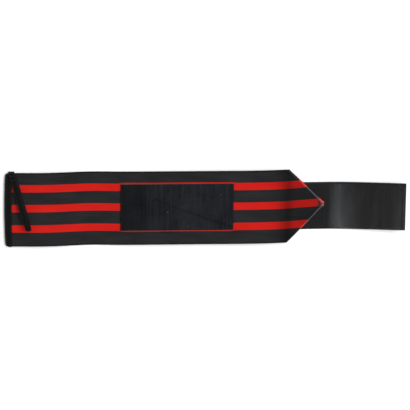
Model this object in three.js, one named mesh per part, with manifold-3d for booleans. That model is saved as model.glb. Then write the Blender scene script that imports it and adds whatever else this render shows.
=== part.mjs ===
// Elastic wrist wrap, opened out and lying on its back, in millimetres, +Z up.
//
// The band runs along X, with its bound end on the left and its hook tab on the
// right. It is one length of woven elastic: both corners of its right end are
// folded back under it, edge to edge, so that the end becomes a point. The hook
// tab is sewn behind the folded corners, and the loop patch on the face. A narrow
// tape loop for the thumb clasps the band's edge at the bound end.
//
// The wrap bows gently along its length, and the free end of the tab curls up.

import * as THREE from 'three';
import * as BufferGeometryUtils from 'three/addons/utils/BufferGeometryUtils.js';
import Module from 'manifold-3d';

const wasm = await Module();
wasm.setup();

// Band, measured from its raw left end to the shoulders of its point
const bandWidth = 79.5;
const bandLength = 298;
const bandThickness = 1.8;
const bandCorner = 2.5;
const pointLength = 40.3;
const tipOffset = 2.4;
const shoulderSkew = 1;
const tipRound = 2.6;
const archHeight = 4;

// Space between two pieces that are sewn together, and between folded layers
const seamGap = 0.3;

// Tape that wraps the raw end
const bindingThickness = 1;
const bindingReach = 5.7;
const bindingCorner = 4;
const bindingBulge = 0.8;

// Loop-pile patch on the face
const patchStart = 120;
const patchLength = 119.5;
const patchWidth = 50.9;
const patchThickness = 1.8;
const patchOffset = 1.3;
const patchCorner = 1;

// Hook tab behind the point
const tabRoot = 3;
const tabReach = 84.7;
const tabWidth = 51.6;
const tabThickness = 1.4;
const tabOffset = -0.6;
const tabCorner = 1.5;
const tabCurl = 12;

// Thumb loop
const loopWidth = 6;
const loopThickness = 1;
const loopRoot = 5.6;
const loopLean = THREE.MathUtils.degToRad(15.5);
const loopDrop = 61.5;
const loopBow = 6.4;
const loopBackReach = 8;
const loopEdgeRound = 0.8;
const loopLegShift = 1.5;
const loopLegEnd = 1.5;

// Where the loop's legs change level, as shares of half the band's width
const outerLegLeavesBinding = 0.7;
const outerLegRises = 0.2;
const innerLegLeavesBinding = 0.65;
const innerLegMeetsBand = 0.4;

// Steps along the curved pieces
const bandStep = 8;
const bindingStep = 2;
const tabStep = 6;
const patchStep = 8;
const loopStep = 10;
const arcSides = 8;

// How far a rough shape runs past the outline that trims it, and, as a share of
// its length, how far a folded edge's bar does
const trim = 1;
const foldOverrun = 0.1;

const halfWidth = bandWidth / 2;
const tipX = bandLength + pointLength;
const tip = new THREE.Vector2(tipX, tipOffset);

// The shoulders, upper and lower in plan: the point is folded a little off square
const shoulders = [1, -1].map((side) => ({
  side,
  at: new THREE.Vector2(bandLength + (side > 0 ? shoulderSkew : 0), side * halfWidth),
}));
const tabEnd = tipX + tabReach;
const bindingLayer = seamGap + bindingThickness;
const loopLayer = seamGap + loopThickness;

// The loop's rear end is the lowest thing at the bound end, and the tab at the point
const endLift = bindingLayer + loopLayer;
const flapBottom = tabThickness + seamGap;
const pointLift = flapBottom + bandThickness + seamGap;

// How far the band's underside stands above a straight line from its raw end to
// the shoulders. along is a share of bandLength, bow a share of archHeight.
const bandBow = [
  { along: 0.00, bow: 0.00 },
  { along: 0.05, bow: 0.10 },
  { along: 0.10, bow: 0.36 },
  { along: 0.14, bow: 0.42 },
  { along: 0.19, bow: 0.18 },
  { along: 0.24, bow: -0.38 },
  { along: 0.29, bow: -0.72 },
  { along: 0.34, bow: -0.56 },
  { along: 0.40, bow: -0.12 },
  { along: 0.48, bow: 0.12 },
  { along: 0.60, bow: 0.27 },
  { along: 0.75, bow: 0.50 },
  { along: 0.86, bow: 0.68 },
  { along: 0.93, bow: 0.52 },
  { along: 0.97, bow: 0.20 },
  { along: 1.00, bow: 0.00 },
];

// How far the tab's underside has risen. along is a share of tabReach, counted
// from the tip of the point, and rise a share of tabCurl. The outer half is flat.
const tabRise = [
  { along: 0.00, rise: 0.00 },
  { along: 0.12, rise: 0.03 },
  { along: 0.24, rise: 0.11 },
  { along: 0.36, rise: 0.22 },
  { along: 0.45, rise: 0.32 },
];

// A smooth line through a table's rows, level before the first
function smoothTable(rows, column, along) {
  const last = rows.length - 1;
  if (along <= rows[0].along) {
    return rows[0][column];
  }
  if (along >= rows[last].along) {
    return rows[last][column];
  }
  const i = rows.findIndex((row) => row.along > along) - 1;
  const slope = (k) => {
    const a = rows[Math.max(k - 1, 0)];
    const b = rows[Math.min(k + 1, last)];
    return (b[column] - a[column]) / (b.along - a.along);
  };
  const span = rows[i + 1].along - rows[i].along;
  const t = (along - rows[i].along) / span;
  const rise = rows[i + 1][column] - rows[i][column];
  const startSlope = i === 0 ? 0 : slope(i) * span;
  const endSlope = slope(i + 1) * span;
  return (
    rows[i][column] +
    startSlope * t +
    (3 * rise - 2 * startSlope - endSlope) * t ** 2 +
    (startSlope + endSlope - 2 * rise) * t ** 3
  );
}

// Height of the band's underside; the point lies level
function bandBottom(x) {
  const along = THREE.MathUtils.clamp(x / bandLength, 0, 1);
  const line = THREE.MathUtils.lerp(endLift, pointLift, along);
  return line + archHeight * smoothTable(bandBow, 'bow', along);
}

function bandFace(x) {
  return bandBottom(x) + bandThickness;
}

// Height of the tab's underside: curved near the point, then one flat slope
function tabBottom(x) {
  const along = Math.max((x - tipX) / tabReach, 0);
  const bend = tabRise[tabRise.length - 1];
  if (along <= bend.along) {
    return tabCurl * smoothTable(tabRise, 'rise', along);
  }
  const share = (along - bend.along) / (1 - bend.along);
  return tabCurl * THREE.MathUtils.lerp(bend.rise, 1, share);
}

function closedGeometry(positions, indices) {
  const geometry = new THREE.BufferGeometry();
  geometry.setAttribute('position', new THREE.Float32BufferAttribute(positions, 3));
  geometry.setIndex(indices);
  return geometry;
}

function toManifold(geometry) {
  const bare = geometry.clone();
  bare.deleteAttribute('normal');
  bare.deleteAttribute('uv');
  const merged = BufferGeometryUtils.mergeVertices(bare, 1e-5);
  const mesh = new wasm.Mesh({
    numProp: 3,
    vertProperties: new Float32Array(merged.attributes.position.array),
    triVerts: new Uint32Array(merged.index.array),
  });
  return new wasm.Manifold(mesh);
}

function toGeometry(solid) {
  const mesh = solid.getMesh();
  return closedGeometry(Array.from(mesh.vertProperties), Array.from(mesh.triVerts));
}

// A bar of four-cornered sections joined end to end. Each section lists its
// corners anticlockwise as seen from the bar's start, looking along the bar.
function loft(sections) {
  const positions = sections.flat(2);
  const indices = [];
  const corners = sections[0].length;
  for (let i = 0; i < sections.length - 1; i += 1) {
    for (let k = 0; k < corners; k += 1) {
      const a = i * corners + k;
      const b = i * corners + (k + 1) % corners;
      indices.push(a, a + corners, b, b, a + corners, b + corners);
    }
  }
  const end = (sections.length - 1) * corners;
  for (let k = 1; k < corners - 1; k += 1) {
    indices.push(0, k, k + 1);
    indices.push(end, end + k + 1, end + k);
  }
  return closedGeometry(positions, indices);
}

// A sheet between two heights that are functions of x, from one x to another
function waveSheet({ from, to, step, low, high, bottom, top }) {
  const count = Math.ceil((to - from) / step);
  const sections = [];
  for (let i = 0; i <= count; i += 1) {
    const x = THREE.MathUtils.lerp(from, to, i / count);
    sections.push([
      [x, low, bottom(x)],
      [x, low, top(x)],
      [x, high, top(x)],
      [x, high, bottom(x)],
    ]);
  }
  return loft(sections);
}

// A plan outline stood up from one height to another
function prism(outline, low, high) {
  const geometry = new THREE.ExtrudeGeometry(outline, {
    depth: high - low,
    bevelEnabled: false,
    curveSegments: arcSides,
  });
  return geometry.translate(0, 0, low);
}

// A plan outline stood up past everything, to trim a rough shape to that outline
function cutter(outline) {
  return prism(outline, -bandWidth, bandWidth);
}

// Rectangle in plan with rounded corners
function roundedRect(x0, x1, y0, y1, round) {
  const shape = new THREE.Shape();
  shape.moveTo(x0 + round, y0);
  shape.lineTo(x1 - round, y0);
  shape.absarc(x1 - round, y0 + round, round, -Math.PI / 2, 0, false);
  shape.lineTo(x1, y1 - round);
  shape.absarc(x1 - round, y1 - round, round, 0, Math.PI / 2, false);
  shape.lineTo(x0 + round, y1);
  shape.absarc(x0 + round, y1 - round, round, Math.PI / 2, Math.PI, false);
  shape.lineTo(x0, y0 + round);
  shape.absarc(x0 + round, y0 + round, round, Math.PI, 1.5 * Math.PI, false);
  return shape;
}

// Where the two folded edges' lines meet the selvedges and each other, once each
// is drawn in by inset
function foldCorners(inset) {
  const [upper, lower] = shoulders.map(({ side, at }) => {
    const run = tip.clone().sub(at);
    const inward = new THREE.Vector2(side * run.y, -side * run.x).normalize();
    const start = at.clone().addScaledVector(inward, inset);
    start.addScaledVector(run, (at.y - start.y) / run.y);
    return { start, run };
  });
  const between = lower.start.clone().sub(upper.start);
  const reach = between.cross(lower.run) / upper.run.cross(lower.run);
  return {
    upper: upper.start,
    lower: lower.start,
    tip: upper.start.clone().addScaledVector(upper.run, reach),
  };
}

// The band's plan, drawn in from its folded edges by inset
function bandOutline(inset) {
  const corners = foldCorners(inset);
  const nose = (shoulder) => {
    const back = shoulder.clone().sub(corners.tip);
    return corners.tip.clone().addScaledVector(back, tipRound / Math.abs(back.y));
  };
  const lowerNose = nose(corners.lower);
  const upperNose = nose(corners.upper);
  const shape = new THREE.Shape();
  shape.moveTo(bandCorner, -halfWidth);
  shape.lineTo(corners.lower.x, -halfWidth);
  shape.lineTo(lowerNose.x, lowerNose.y);
  shape.quadraticCurveTo(corners.tip.x, corners.tip.y, upperNose.x, upperNose.y);
  shape.lineTo(corners.upper.x, halfWidth);
  shape.lineTo(bandCorner, halfWidth);
  shape.absarc(bandCorner, halfWidth - bandCorner, bandCorner, Math.PI / 2, Math.PI, false);
  shape.lineTo(0, bandCorner - halfWidth);
  shape.absarc(bandCorner, bandCorner - halfWidth, bandCorner, Math.PI, 1.5 * Math.PI, false);
  return shape;
}

// The folded edge: a half-round bar along the slope from a shoulder to the tip
function foldBar({ side, at }, radius) {
  const run = tip.clone().sub(at);
  const outward = new THREE.Vector2(-side * run.y, side * run.x).normalize();
  const centreLine = at.clone().addScaledVector(outward, -radius);
  const start = centreLine.clone().addScaledVector(run, -foldOverrun);
  const end = centreLine.clone().addScaledVector(run, 1 + foldOverrun);
  const middle = flapBottom + radius;
  const section = (centre) => {
    const ring = [];
    const push = (out, up) => {
      ring.push([centre.x + outward.x * out, centre.y + outward.y * out, middle + up]);
    };
    push(-seamGap, -radius);
    for (let k = 0; k <= arcSides; k += 1) {
      const turn = Math.PI * (k / arcSides - 0.5);
      push(radius * Math.cos(turn), radius * Math.sin(turn));
    }
    push(-seamGap, radius);
    return side > 0 ? ring.reverse() : ring;
  };
  return loft([section(start), section(end)]);
}

// One folded corner: a triangle under the face, its selvedge across the band and
// its raw end beside the other corner's
function flapOutline({ side }, inset) {
  const corners = foldCorners(inset);
  const shoulder = side > 0 ? corners.upper : corners.lower;
  const raw = corners.tip.y + side * seamGap;
  const fold = corners.tip.clone().sub(shoulder);
  const selvedgeEnd = shoulder.y + fold.y * (bandLength - shoulder.x) / fold.x;
  const rawEnd = shoulder.x + fold.x * (raw - shoulder.y) / fold.y;
  const shape = new THREE.Shape();
  shape.moveTo(bandLength, raw);
  shape.lineTo(bandLength, selvedgeEnd);
  shape.lineTo(rawEnd, raw);
  return shape;
}

function elasticBand() {
  const radius = bandThickness + seamGap / 2;
  const face = toManifold(waveSheet({
    from: -bandCorner,
    to: tipX,
    step: bandStep,
    low: -halfWidth - trim,
    high: halfWidth + trim,
    bottom: bandBottom,
    top: bandFace,
  }));
  let band = face.intersect(toManifold(cutter(bandOutline(bandThickness))));
  for (const shoulder of shoulders) {
    const outline = flapOutline(shoulder, radius);
    const flap = prism(outline, flapBottom, flapBottom + bandThickness);
    band = band.add(toManifold(flap)).add(toManifold(foldBar(shoulder, radius)));
  }
  return toGeometry(band.intersect(toManifold(cutter(bandOutline(0)))));
}

// A U of tape round the raw end: an outer sheet less the room for the band
function endBinding() {
  const outerEnd = -bindingLayer;
  const outer = toManifold(waveSheet({
    from: outerEnd - bindingBulge,
    to: bindingReach,
    step: bindingStep,
    low: -halfWidth,
    high: halfWidth,
    bottom: (x) => bandBottom(x) - bindingLayer,
    top: (x) => bandFace(x) + bindingLayer,
  }));
  const room = toManifold(waveSheet({
    from: -seamGap,
    to: bindingReach + trim,
    step: bindingStep,
    low: -halfWidth - trim,
    high: halfWidth + trim,
    bottom: (x) => bandBottom(x) - seamGap,
    top: (x) => bandFace(x) + seamGap,
  }));
  const straight = halfWidth - bindingCorner;
  const outline = new THREE.Shape();
  outline.moveTo(bindingReach, -halfWidth);
  outline.lineTo(bindingReach, halfWidth);
  outline.lineTo(outerEnd + bindingCorner, halfWidth);
  outline.quadraticCurveTo(outerEnd, halfWidth, outerEnd, straight);
  outline.quadraticCurveTo(outerEnd - 2 * bindingBulge, 0, outerEnd, -straight);
  outline.quadraticCurveTo(outerEnd, -halfWidth, outerEnd + bindingCorner, -halfWidth);
  const shaped = outer.intersect(toManifold(cutter(outline)));
  return toGeometry(shaped.subtract(room));
}

function loopPatch() {
  const end = patchStart + patchLength;
  const low = patchOffset - patchWidth / 2;
  const high = patchOffset + patchWidth / 2;
  const pile = toManifold(waveSheet({
    from: patchStart,
    to: end,
    step: patchStep,
    low,
    high,
    bottom: (x) => bandFace(x) + seamGap,
    top: (x) => bandFace(x) + seamGap + patchThickness,
  }));
  const outline = roundedRect(patchStart, end, low, high, patchCorner);
  return toGeometry(pile.intersect(toManifold(cutter(outline))));
}

function hookTab() {
  const start = bandLength + tabRoot;
  const low = tabOffset - tabWidth / 2;
  const high = tabOffset + tabWidth / 2;
  const tape = toManifold(waveSheet({
    from: start,
    to: tabEnd,
    step: tabStep,
    low,
    high,
    bottom: tabBottom,
    top: (x) => tabBottom(x) + tabThickness,
  }));
  const outline = roundedRect(start, tabEnd, low, high, tabCorner);
  return toGeometry(tape.intersect(toManifold(cutter(outline))));
}

// The tape's middle line seen along the band: y, and the height over the face
function loopPath() {
  const innerLevel = seamGap + loopThickness / 2;
  const overBinding = innerLevel + bindingLayer;
  const outerLevel = overBinding + loopLayer;
  const underBinding = -bandThickness - overBinding;
  const edge = halfWidth + innerLevel;
  const bend = loopEdgeRound;
  const foldRadius = loopBow / 2;
  const foldY = halfWidth - loopDrop + foldRadius + loopThickness / 2;
  const bowTop = innerLevel + loopBow;
  const path = new THREE.Path();
  path.moveTo(halfWidth - loopBackReach, underBinding);
  path.lineTo(edge - bend, underBinding);
  path.absarc(edge - bend, underBinding + bend, bend, -Math.PI / 2, 0, false);
  path.lineTo(edge, outerLevel - bend);
  path.absarc(edge - bend, outerLevel - bend, bend, 0, Math.PI / 2, false);
  path.lineTo(halfWidth * outerLegLeavesBinding, outerLevel);
  path.bezierCurveTo(
    halfWidth * outerLegRises, outerLevel,
    foldY + 3 * loopBow, bowTop,
    foldY + loopBow, bowTop,
  );
  path.lineTo(foldY, bowTop);
  path.absarc(foldY, bowTop - foldRadius, foldRadius, Math.PI / 2, 1.5 * Math.PI, false);
  path.lineTo(halfWidth * innerLegMeetsBand, innerLevel);
  const legRise = halfWidth * (innerLegMeetsBand + innerLegLeavesBinding) / 2;
  path.bezierCurveTo(
    legRise, innerLevel,
    legRise, overBinding,
    halfWidth * innerLegLeavesBinding, overBinding,
  );
  path.lineTo(halfWidth - loopLegEnd, overBinding);
  return { path, foldY, bowTop };
}

function thumbLoop() {
  const { path, foldY, bowTop } = loopPath();
  const reach = loopWidth / Math.cos(loopLean) / 2;
  let shift = 0;
  const sections = [];
  for (const part of path.curves) {
    const pieces = part.isLineCurve ? Math.ceil(part.getLength() / loopStep) : arcSides;
    const first = sections.length === 0 ? 0 : 1;
    for (let k = first; k <= pieces; k += 1) {
      const { x: y, y: rise } = part.getPoint(k / pieces);
      const along = part.getTangent(k / pieces);
      if (y <= foldY) {
        shift = loopLegShift * (bowTop - rise) / loopBow;
      }
      const middle = loopRoot + shift + Math.tan(loopLean) * Math.max(halfWidth - y, 0);
      sections.push({ middle, y, rise, along });
    }
  }
  return loft(sections.map(({ middle, y, rise, along }) => {
    const corner = (sideways, thick) => {
      const x = middle + sideways * reach;
      const half = thick * loopThickness / 2;
      return [x, y - along.y * half, bandFace(x) + rise + along.x * half];
    };
    return [corner(1, -1), corner(1, 1), corner(-1, 1), corner(-1, -1)];
  }));
}

const wrap = new THREE.Group();

function addPiece(name, geometry, color, roughness) {
  const material = new THREE.MeshStandardMaterial({ color, roughness, metalness: 0 });
  const mesh = new THREE.Mesh(geometry, material);
  mesh.name = name;
  wrap.add(mesh);
}

addPiece('elastic_band', elasticBand(), 0x1c1c1e, 0.9);
addPiece('end_binding', endBinding(), 0x161617, 0.85);
addPiece('loop_patch', loopPatch(), 0x1b1c20, 1);
addPiece('hook_tab', hookTab(), 0x202022, 0.55);
addPiece('thumb_loop', thumbLoop(), 0x18181a, 0.8);

// The origin is on the surface that the wrap lies on, at the middle of its plan
const box = new THREE.Box3().setFromObject(wrap);
const centre = box.getCenter(new THREE.Vector3());
wrap.position.set(-centre.x, -centre.y, -box.min.z);

export default wrap;
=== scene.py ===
"""Elastic wrist wrap lying open on its back, dressed around its CAD frame.

The band runs along X from its bound end to its hook tab, and its face is up. Along is
the distance from the band's raw end, and across the distance from its middle line.
"""

import math
import random

import bpy
from mathutils import Euler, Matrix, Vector, noise
from mathutils.bvhtree import BVHTree
from mathutils.geometry import interpolate_bezier


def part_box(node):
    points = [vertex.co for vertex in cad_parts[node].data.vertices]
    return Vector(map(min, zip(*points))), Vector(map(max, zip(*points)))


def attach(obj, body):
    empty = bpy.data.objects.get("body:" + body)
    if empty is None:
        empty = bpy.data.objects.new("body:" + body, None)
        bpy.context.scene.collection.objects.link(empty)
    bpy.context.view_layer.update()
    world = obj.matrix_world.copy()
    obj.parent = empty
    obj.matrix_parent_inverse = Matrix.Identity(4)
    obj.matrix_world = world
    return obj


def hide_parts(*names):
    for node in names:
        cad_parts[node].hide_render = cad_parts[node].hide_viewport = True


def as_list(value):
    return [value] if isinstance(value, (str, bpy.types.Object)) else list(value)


bl_info = {
    "name": "Wrist Wrap",
    "version": (1, 0, 0),
    "blender": (4, 5, 0),
    "location": "View3D > Sidebar > Wrist Wrap",
    "description": "Builds an elastic wrist wrap around its CAD frame",
    "category": "Object",
}

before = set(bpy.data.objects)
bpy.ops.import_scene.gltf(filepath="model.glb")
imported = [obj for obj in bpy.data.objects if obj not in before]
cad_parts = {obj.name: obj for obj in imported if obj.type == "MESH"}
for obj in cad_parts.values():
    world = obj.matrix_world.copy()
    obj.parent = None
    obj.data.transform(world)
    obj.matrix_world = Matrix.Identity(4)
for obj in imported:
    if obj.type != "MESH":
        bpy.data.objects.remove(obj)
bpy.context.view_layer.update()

MM = 0.001
MM_PER_METRE = 1000
TURN = 2 * math.pi
BODY = "root"
SIDES = (1, -1)
BAND_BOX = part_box("elastic_band")
BINDING_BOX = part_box("end_binding")
PATCH_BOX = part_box("loop_patch")
TAB_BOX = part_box("hook_tab")
RAW_END = BAND_BOX[0].x
MIDDLE = (BAND_BOX[0].y + BAND_BOX[1].y) / 2
HALF_WIDTH = (BAND_BOX[1].y - BAND_BOX[0].y) / 2
PATCH_START = PATCH_BOX[0].x - RAW_END
PATCH_END = PATCH_BOX[1].x - RAW_END
PATCH_LOW = PATCH_BOX[0].y - MIDDLE
PATCH_HIGH = PATCH_BOX[1].y - MIDDLE
PATCH_MIDDLE = (PATCH_BOX[0].y + PATCH_BOX[1].y) / 2
TAB_MIDDLE = (TAB_BOX[0].y + TAB_BOX[1].y) / 2
TIP_OFFSET = 2.4 * MM
SAME_PLACE = 0.01 * MM
CLOSE_POINTS = 0.04 * MM


def number_property(name, description, default, **kind):
    """A number for the sidebar, whose kind is a unit or a subtype"""
    return bpy.props.FloatProperty(name=name, description=description, default=default, **kind)


def length_property(name, description, default):
    return number_property(name, description, default, unit="LENGTH")


def colour_property(name, description, default):
    return bpy.props.FloatVectorProperty(
        name=name,
        description=description,
        default=default,
        subtype="COLOR",
        size=3,
        min=0,
        max=1,
    )


class WrapSizes(bpy.types.PropertyGroup):
    """Sizes of the band and of what is sewn to it"""

    band_thickness: length_property("Band thickness", "Thickness of the woven elastic", 1.8 * MM)
    shoulder: length_property("Shoulder", "From the raw end to the point's lower shoulder", 298 * MM)
    shoulder_skew: length_property("Shoulder skew", "How much further along the upper one is", 1 * MM)
    tip: length_property("Tip", "From the raw end to where the two folded edges would meet", 338.3 * MM)
    tip_offset: length_property("Tip offset", "How far above the middle line the tip is", TIP_OFFSET)
    tip_round: length_property("Tip round", "Half the width at which the nose begins to round", 2.6 * MM)
    layer_gap: length_property("Layer gap", "Space between two layers of cloth", 0.3 * MM)
    stripe_width: length_property("Stripe width", "Width of each lengthwise stripe", 8.0 * MM)
    upper_pitch: length_property("Upper pitch", "From the middle stripe to the upper one", 21.5 * MM)
    lower_pitch: length_property("Lower pitch", "From the middle stripe to the lower one", 22.1 * MM)
    stripe_offset: length_property("Stripe offset", "How far above the middle line the stripes are", 1.6 * MM)
    stripe_drift: number_property("Stripe drift", "How steeply the weave climbs along the point", 0.068)
    patch_spread: number_property(
        "Patch spread", "How much further apart the stripes are by the patch", 0.030, subtype="FACTOR"
    )
    binding_reach: length_property("Binding reach", "How far the binding comes over the face", 5.7 * MM)
    binding_thickness: length_property("Binding thickness", "Thickness of the binding tape", 1 * MM)
    pile_height: length_property("Pile height", "How far the pile stands above its own tape", 0.9 * MM)
    hook_height: length_property("Hook height", "Height of the hooks under the tab", 0.45 * MM)
    loop_width: length_property("Thumb loop width", "Width of the thumb loop's tape", 6 * MM)
    loop_thickness: length_property("Thumb loop thickness", "Thickness of its tape", 1 * MM)
    loop_lean: number_property(
        "Thumb loop lean", "Angle between the loop and the bound end", math.radians(15.5), subtype="ANGLE"
    )
    thread_width: length_property("Thread width", "Width of the sewing thread", 0.55 * MM)
    stitch_length: length_property("Stitch length", "From one needle hole to the next", 2.8 * MM)


class WrapColours(bpy.types.PropertyGroup):
    """Colours of the wrap's cloths and threads"""

    ground: colour_property("Ground", "The elastic between its stripes", (0.0185, 0.0180, 0.0195))
    stripe: colour_property("Stripe", "The elastic's stripes", (0.56, 0.0115, 0.0080))
    # Also the colour of a painted highlight along the point's folded edges
    core: colour_property("Core", "What a fold's stretched weave lets through", (0.30, 0.30, 0.33))
    binding: colour_property("Binding", "The tape on the raw end", (0.0028, 0.0028, 0.0032))
    loop: colour_property("Loop", "The thumb loop's tape", (0.0027, 0.0027, 0.0031))
    worn_tape: colour_property("Worn tape", "Where a tape is rubbed", (0.09, 0.09, 0.10))
    pile: colour_property("Pile", "The loop patch", (0.0162, 0.0173, 0.0214))
    patch_tape: colour_property("Patch tape", "The patch's bare edge", (0.006, 0.006, 0.008))
    satin: colour_property("Satin", "The smooth side of the hook tab", (0.0050, 0.0047, 0.0050))
    hooks: colour_property("Hooks", "The hooks under the tab", (0.012, 0.012, 0.013))
    thread: colour_property("Thread", "Dark sewing thread", (0.010, 0.010, 0.012))
    pale_thread: colour_property("Pale thread", "Thread along the point", (0.12, 0.12, 0.14))
    patch_thread: colour_property("Patch thread", "Thread round the patch", (0.13, 0.095, 0.095))
    lint: colour_property("Lint", "Fluff caught in the pile", (0.16, 0.18, 0.18))
    floor: colour_property("Floor", "The plain floor", (0.93, 0.93, 0.93))


class SmoothLine:
    """A smooth curve through evenly spaced values"""

    def __init__(self, start, step, values):
        self.start = start
        self.step = step
        self.values = values

    def __call__(self, at):
        last = len(self.values) - 1
        steps = min(max((at - self.start) / self.step, 0), last)
        i = min(int(steps), last - 1)
        t = steps - i
        before, a, b, after = (self.values[min(max(i + k, 0), last)] for k in (-1, 0, 1, 2))
        rise = (b - before) / 2
        fall = (after - a) / 2
        return a + rise * t + (3 * (b - a) - 2 * rise - fall) * t**2 + (rise + fall - 2 * (b - a)) * t**3


def height_line(node, y, start, end, above=True, step=6 * MM):
    """Heights of a CAD node along X, read by rays from above or from below"""
    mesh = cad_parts[node].data
    tree = BVHTree.FromPolygons([v.co for v in mesh.vertices], [p.vertices[:] for p in mesh.polygons])
    count = round((end - start) / step)
    spacing = (end - start) / count
    ray = Vector((0, 0, -1 if above else 1))
    heights = []
    for k in range(count + 1):
        hit = tree.ray_cast(Vector((start + k * spacing, y, 0)) - ray, ray)[0]
        if hit is None:
            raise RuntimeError(f"{node} has no surface at x = {start + k * spacing:.4f}")
        heights.append(hit.z)
    return SmoothLine(start, spacing, heights)


INSIDE = 0.5 * MM
NOSE_MARGIN = 3 * MM
TAB_SPAN = (TAB_BOX[0].x + INSIDE, TAB_BOX[1].x - INSIDE)
TAB_STEP = 4 * MM
BAND_FACE = height_line("elastic_band", MIDDLE + TIP_OFFSET, RAW_END + INSIDE, BAND_BOX[1].x - NOSE_MARGIN)
PATCH_TOP = height_line("loop_patch", PATCH_MIDDLE, PATCH_BOX[0].x + INSIDE, PATCH_BOX[1].x - INSIDE)
TAB_TOP = height_line("hook_tab", TAB_MIDDLE, *TAB_SPAN, step=TAB_STEP)
TAB_UNDER = height_line("hook_tab", TAB_MIDDLE, *TAB_SPAN, above=False, step=TAB_STEP)


def smooth_step(low, high, value):
    t = min(max((value - low) / (high - low), 0), 1)
    return t * t * (3 - 2 * t)


def bump_at(distance, width):
    """1 at no distance, falling smoothly to nothing over about twice the width"""
    return math.exp(-((distance / width) ** 2))


def waves(along, across, length, width, seed):
    """Smooth unevenness between -1 and 1, with waves of a length along and a width across"""
    return noise.noise(Vector((along / length, across / width, seed)))


CREASE_DEPTH = 0.45 * MM
CREASE_WIDTH = 2.6 * MM
CREASE_BEFORE = 1.2 * MM
# Painted shade over the folded point and before its crease, as shares of the darkening
POINT_PAINTED_SHADE = 0.65
BAND_PAINTED_SHADE = 0.6


def ripple(along, across):
    """How uneven the lying elastic is: slow waves, fine puckers and the crease at the point"""
    slow = 0.16 * MM * waves(along, across, length=34 * MM, width=60 * MM, seed=0.3)
    puckers = 0.05 * MM * waves(along, across, length=5 * MM, width=30 * MM, seed=4.1)
    shoulder = bpy.context.scene.wrap_sizes.shoulder
    crease = -CREASE_DEPTH * bump_at(along - shoulder + CREASE_BEFORE, CREASE_WIDTH)
    return slow + puckers + crease


def band_painted_shade(along):
    """Painted shade on the elastic: most at the crease, and all over the folded point"""
    before = bpy.context.scene.wrap_sizes.shoulder - along
    if before < 0:
        return POINT_PAINTED_SHADE + (1 - POINT_PAINTED_SHADE) * bump_at(before, width=5 * MM)
    return BAND_PAINTED_SHADE * bump_at(before, width=16 * MM) + (1 - BAND_PAINTED_SHADE) * bump_at(before, width=7 * MM)


def face_height(along, across):
    return BAND_FACE(RAW_END + along) + ripple(along, across)


def patch_height(along, across):
    return PATCH_TOP(RAW_END + along) + ripple(along, across)


def over_face(lift):
    """A surface at a lift over the band's face"""
    return lambda along, across: face_height(along, across) + lift


def place(along, across, height):
    """A point of the frame from the band's own coordinates"""
    return Vector((RAW_END + along, MIDDLE + across, height))


class Cloth:
    """A mesh in the making: points with their place on the flat cloth, and faces"""

    def __init__(self):
        self.points = []
        self.flat = []
        self.wear = []
        # Painted shade per point, which the finishes darken the colour by
        self.painted_shade = []
        self.faces = []

    def point(self, position, flat, wear=0.0, painted_shade=0.0):
        self.points.append(position)
        self.flat.append((flat[0], flat[1], 0.0))
        self.wear.append(wear)
        self.painted_shade.append(painted_shade)
        return len(self.points) - 1

    def spot(self, along, across, height, flat=None, wear=0.0, painted_shade=0.0):
        """A point from the band's own coordinates, which say where it is on the flat cloth too"""
        return self.point(place(along, across, height), flat or (along, across), wear, painted_shade)

    def grid(self, rows):
        """Faces between rows of point numbers. None marks a place without a point."""
        for row, following in zip(rows, rows[1:]):
            for corners in zip(row, row[1:], following[1:], following):
                if None not in corners:
                    self.faces.append(corners)

    def tube(self, rings):
        """Faces along rings of point numbers, closed at both ends"""
        for ring, following in zip(rings, rings[1:]):
            for k, corner in enumerate(ring):
                n = (k + 1) % len(ring)
                self.faces.append((corner, following[k], following[n], ring[n]))
        self.faces.append(tuple(rings[0]))
        self.faces.append(tuple(reversed(rings[-1])))

    def make(self, name, material):
        mesh = bpy.data.meshes.new(name)
        mesh.from_pydata(self.points, [], self.faces)
        flat = mesh.attributes.new("cloth", "FLOAT_VECTOR", "POINT")
        flat.data.foreach_set("vector", [number for spot in self.flat for number in spot])
        # The second attribute is painted shade
        for name_of, values in (("wear", self.wear), ("painted_shade", self.painted_shade)):
            mesh.attributes.new(name_of, "FLOAT", "POINT").data.foreach_set("value", values)
        mesh.materials.append(material)
        mesh.shade_smooth()
        obj = bpy.data.objects.new(name, mesh)
        bpy.context.scene.collection.objects.link(obj)
        return obj


CUT_ANGLE = math.radians(55)
SLAB_ROUND = 0.25 * MM


def soften(obj, edge_round):
    """Rounds the cut edges and makes all that shapes the piece final"""
    bevel = obj.modifiers.new("Cut edges", "BEVEL")
    bevel.width = edge_round
    bevel.segments = 2
    bevel.limit_method = "ANGLE"
    bevel.angle_limit = CUT_ANGLE
    seen = obj.evaluated_get(bpy.context.evaluated_depsgraph_get())
    mesh = bpy.data.meshes.new_from_object(seen)
    mesh.name = obj.name
    obj.modifiers.clear()
    obj.data = mesh
    return obj


def thicken(obj, thickness, edge_round):
    """Gives a sheet its thickness, half to each side, and softens its cut edges"""
    weld = obj.modifiers.new("Close points", "WELD")
    weld.merge_threshold = CLOSE_POINTS
    solidify = obj.modifiers.new("Thickness", "SOLIDIFY")
    solidify.thickness = thickness
    solidify.offset = 0
    return soften(obj, edge_round)


def slab(name, alongs, acrosses, top, under, material):
    """A closed sheet between two heights that are functions of along and across"""
    cloth = Cloth()

    def layer(height):
        return [[cloth.spot(a, c, height(a, c)) for c in acrosses] for a in alongs]

    def rim(rows):
        """The point numbers once round a layer, back to the first"""
        return rows[0] + [row[-1] for row in rows[1:]] + rows[-1][-2::-1] + [row[0] for row in rows[-2::-1]]

    upper = layer(top)
    lower = layer(under)
    cloth.grid([row[::-1] for row in upper])
    cloth.grid(lower)
    cloth.grid([rim(upper), rim(lower)])
    return soften(cloth.make(name, material), SLAB_ROUND)


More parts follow.
